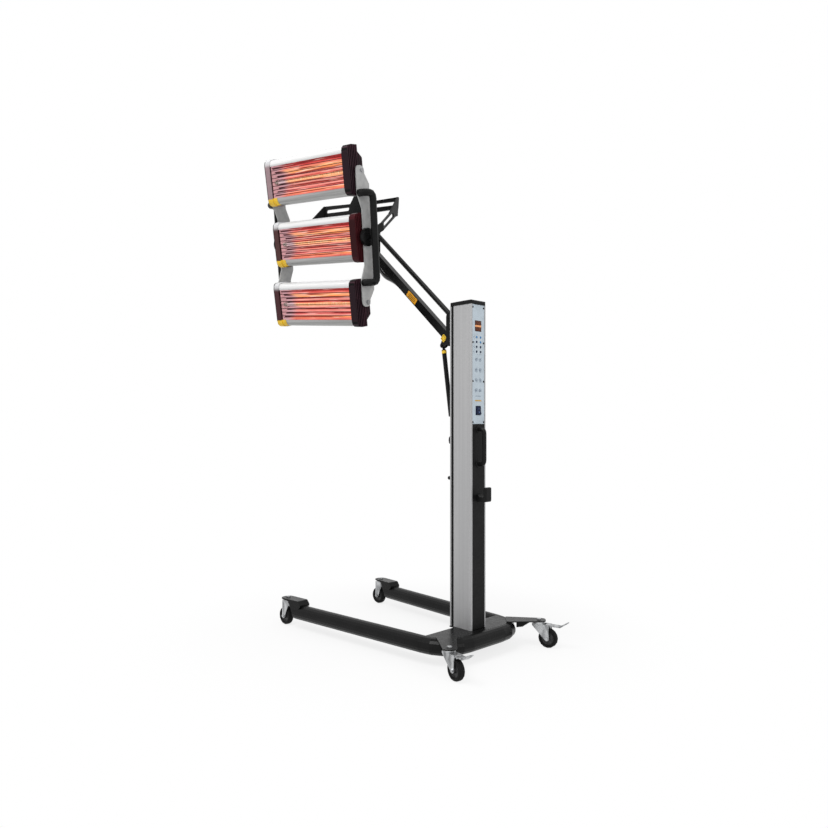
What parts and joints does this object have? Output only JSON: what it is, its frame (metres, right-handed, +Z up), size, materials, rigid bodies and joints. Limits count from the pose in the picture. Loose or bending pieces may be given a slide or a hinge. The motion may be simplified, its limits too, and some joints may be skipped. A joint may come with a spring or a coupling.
{
  "type": "infrared paint curing lamp",
  "caption": "Mobile infrared paint curing lamp: lamp cassettes on a tilting head, parallelogram arm with gas strut, column with control panel, U base on braked casters.",
  "frame": {"origin": "middle of the whole part's box, on the floor", "axes": "+Z up; -Y forward along the base's legs and the arm; +X the side that the lamps face at rest"},
  "size_m": [0.7142, 1.12, 1.957],
  "materials": {
    "black_powder": "satin black powder coat",
    "column_aluminium": "satin anodised",
    "bright_aluminium": "polished",
    "reflector_metal": "mirror polished, glowing with the lamp",
    "zinc_plate": "bright zinc plate",
    "wire": "drawn steel wire",
    "black_plastic": "fine grain",
    "ribbed_plastic": "satin moulded ribs",
    "wheel_rubber": "solid black rubber on a grey hub",
    "panel_face": "pale silver overlay",
    "keypad_film": "membrane film",
    "display_film": "dark red filter",
    "switch_plastic": "dark blue-black rocker",
    "quartz": "glowing quartz tube with ceramic ends"
  },
  "bodies": {
    "stand": {"base_tube": "black_powder", "deck_plate": "black_powder", "front_mount_right": "black_powder", "front_mount_left": "black_powder", "rear_mount_right": "black_powder", "rear_mount_left": "black_powder", "column": "column_aluminium", "top_cap": "black_plastic", "control_panel": "panel_face", "display_window": "display_film", "membrane_keypad": "keypad_film", "rear_cover": "black_powder", "rear_handle": "black_plastic", "cable_hook": "black_plastic", "front_clip": "black_plastic", "arm_bracket": "black_powder", "strut_bracket": "black_powder"},
    "rocker": {"power_switch": "switch_plastic"},
    "front_fork_right": {"front_right_fork": "zinc_plate"},
    "front_wheel_right": {"front_right_wheel": "wheel_rubber"},
    "rear_fork_right": {"rear_right_fork": "zinc_plate"},
    "rear_wheel_right": {"rear_right_wheel": "wheel_rubber"},
    "brake_pedal_right": {"rear_right_brake_pedal": "zinc_plate"},
    "front_fork_left": {"front_left_fork": "zinc_plate"},
    "front_wheel_left": {"front_left_wheel": "wheel_rubber"},
    "rear_fork_left": {"rear_left_fork": "zinc_plate"},
    "rear_wheel_left": {"rear_left_wheel": "wheel_rubber"},
    "brake_pedal_left": {"rear_left_brake_pedal": "zinc_plate"},
    "arm": {"main_arm": "black_powder", "arm_conduit": "black_plastic"},
    "link": {"link_rod": "black_powder"},
    "strut_upper": {"strut_cylinder": "black_powder"},
    "strut_lower": {"strut_rod": "black_powder"},
    "knuckle": {"knuckle": "black_powder"},
    "yoke": {"yoke": "black_powder"},
    "head": {"side_plate_right": "column_aluminium", "side_plate_left": "column_aluminium", "bow_right": "black_powder", "bow_left": "black_powder"},
    "cassette_upper": {"upper_shell": "bright_aluminium", "upper_reflector": "reflector_metal", "upper_quartz_lamp": "quartz", "upper_grille": "wire", "upper_rear_housing": "black_plastic", "upper_cap_right": "ribbed_plastic", "upper_cap_left": "ribbed_plastic"},
    "cassette_middle": {"middle_shell": "bright_aluminium", "middle_reflector": "reflector_metal", "middle_quartz_lamp": "quartz", "middle_grille": "wire", "middle_rear_housing": "black_plastic", "middle_cap_right": "ribbed_plastic", "middle_cap_left": "ribbed_plastic"},
    "cassette_lower": {"lower_shell": "bright_aluminium", "lower_reflector": "reflector_metal", "lower_quartz_lamp": "quartz", "lower_grille": "wire", "lower_rear_housing": "black_plastic", "lower_cap_right": "ribbed_plastic", "lower_cap_left": "ribbed_plastic"}
  },
  "joints": [
    {"name": "arm_lift", "type": "hinge", "parent": "stand", "child": "arm", "pos_m": [-0.06347, 0.21845, 1.1815], "axis": [-1, 0, 0], "range_deg": [-40, 10]},
    {"name": "link_swing", "type": "hinge", "parent": "stand", "child": "link", "pos_m": [-0.06347, 0.21845, 1.2745], "axis": [-1, 0, 0], "range_deg": [-40.5, 10.5]},
    {"name": "knuckle_level", "type": "hinge", "parent": "arm", "child": "knuckle", "pos_m": [-0.06347, -0.23866, 1.59889], "axis": [-1, 0, 0], "range_deg": [-10.5, 40.5]},
    {"name": "strut_swing", "type": "hinge", "parent": "arm", "child": "strut_upper", "pos_m": [-0.06347, 0.17145, 1.167], "axis": [-1, 0, 0], "range_deg": [-11, 43]},
    {"name": "strut_slide", "type": "slide", "parent": "strut_upper", "child": "strut_lower", "axis": [0, 0.1429, -0.9897], "range_m": [-0.031, 0.009]},
    {"name": "head_swivel", "type": "hinge", "parent": "knuckle", "child": "yoke", "pos_m": [-0.06347, -0.29466, 1.59889], "axis": [0, 0.0899, 0.9959], "range_deg": [-180, 6]},
    {"name": "head_tilt", "type": "hinge", "parent": "yoke", "child": "head", "pos_m": [0.20305, -0.25735, 1.60607], "axis": [-0.1357, 0.9867, -0.0891], "range_deg": [-30, 25]},
    {"name": "upper_cassette_tilt", "type": "hinge", "parent": "head", "child": "cassette_upper", "pos_m": [0.25044, -0.22899, 1.84794], "axis": [-0.1357, 0.9867, -0.0891], "range_deg": [-20, 20]},
    {"name": "middle_cassette_tilt", "type": "hinge", "parent": "head", "child": "cassette_middle", "pos_m": [0.18937, -0.25901, 1.60854], "axis": [-0.1357, 0.9867, -0.0891], "range_deg": [-20, 20]},
    {"name": "lower_cassette_tilt", "type": "hinge", "parent": "head", "child": "cassette_lower", "pos_m": [0.16933, -0.28405, 1.36172], "axis": [-0.1357, 0.9867, -0.0891], "range_deg": [-20, 20]},
    {"name": "front_right_swivel", "type": "hinge", "parent": "stand", "child": "front_fork_right", "pos_m": [0.20353, -0.49355, 0], "axis": [0, 0, 1], "continuous": true},
    {"name": "front_right_roll", "type": "hinge", "parent": "front_fork_right", "child": "front_wheel_right", "pos_m": [0.20353, -0.50755, 0.0375], "axis": [-1, 0, 0], "continuous": true},
    {"name": "rear_right_swivel", "type": "hinge", "parent": "stand", "child": "rear_fork_right", "pos_m": [0.19153, 0.44045, 0], "axis": [0, 0, 1], "range_deg": [-95, 95]},
    {"name": "rear_right_roll", "type": "hinge", "parent": "rear_fork_right", "child": "rear_wheel_right", "pos_m": [0.19944, 0.47762, 0.0375], "axis": [0.9781, -0.2079, 0], "continuous": true},
    {"name": "rear_right_brake", "type": "hinge", "parent": "rear_fork_right", "child": "brake_pedal_right", "pos_m": [0.1985, 0.47322, 0.0867], "axis": [-0.9781, 0.2079, 0], "range_deg": [0, 8]},
    {"name": "front_left_swivel", "type": "hinge", "parent": "stand", "child": "front_fork_left", "pos_m": [-0.33047, -0.49355, 0], "axis": [0, 0, 1], "continuous": true},
    {"name": "front_left_roll", "type": "hinge", "parent": "front_fork_left", "child": "front_wheel_left", "pos_m": [-0.33047, -0.50755, 0.0375], "axis": [-1, 0, 0], "continuous": true},
    {"name": "rear_left_swivel", "type": "hinge", "parent": "stand", "child": "rear_fork_left", "pos_m": [-0.31847, 0.44045, 0], "axis": [0, 0, 1], "range_deg": [-95, 95]},
    {"name": "rear_left_roll", "type": "hinge", "parent": "rear_fork_left", "child": "rear_wheel_left", "pos_m": [-0.32637, 0.47762, 0.0375], "axis": [0.9781, 0.2079, 0], "continuous": true},
    {"name": "rear_left_brake", "type": "hinge", "parent": "rear_fork_left", "child": "brake_pedal_left", "pos_m": [-0.32543, 0.47322, 0.0867], "axis": [-0.9781, -0.2079, 0], "range_deg": [0, 8]},
    {"name": "power_rocker", "type": "hinge", "parent": "stand", "child": "rocker", "pos_m": [-0.06347, 0.34925, 0.912], "axis": [1, 0, 0], "range_deg": [-12, 0]}
  ],
  "couplings": [
    {"joint": "link_swing", "follows": "arm_lift", "ratio": 1},
    {"joint": "knuckle_level", "follows": "arm_lift", "ratio": -1},
    {"joint": "strut_swing", "follows": "arm_lift", "ratio": -1.0564},
    {"joint": "strut_slide", "follows": "arm_lift", "m_per_rad": 0.04315}
  ]
}
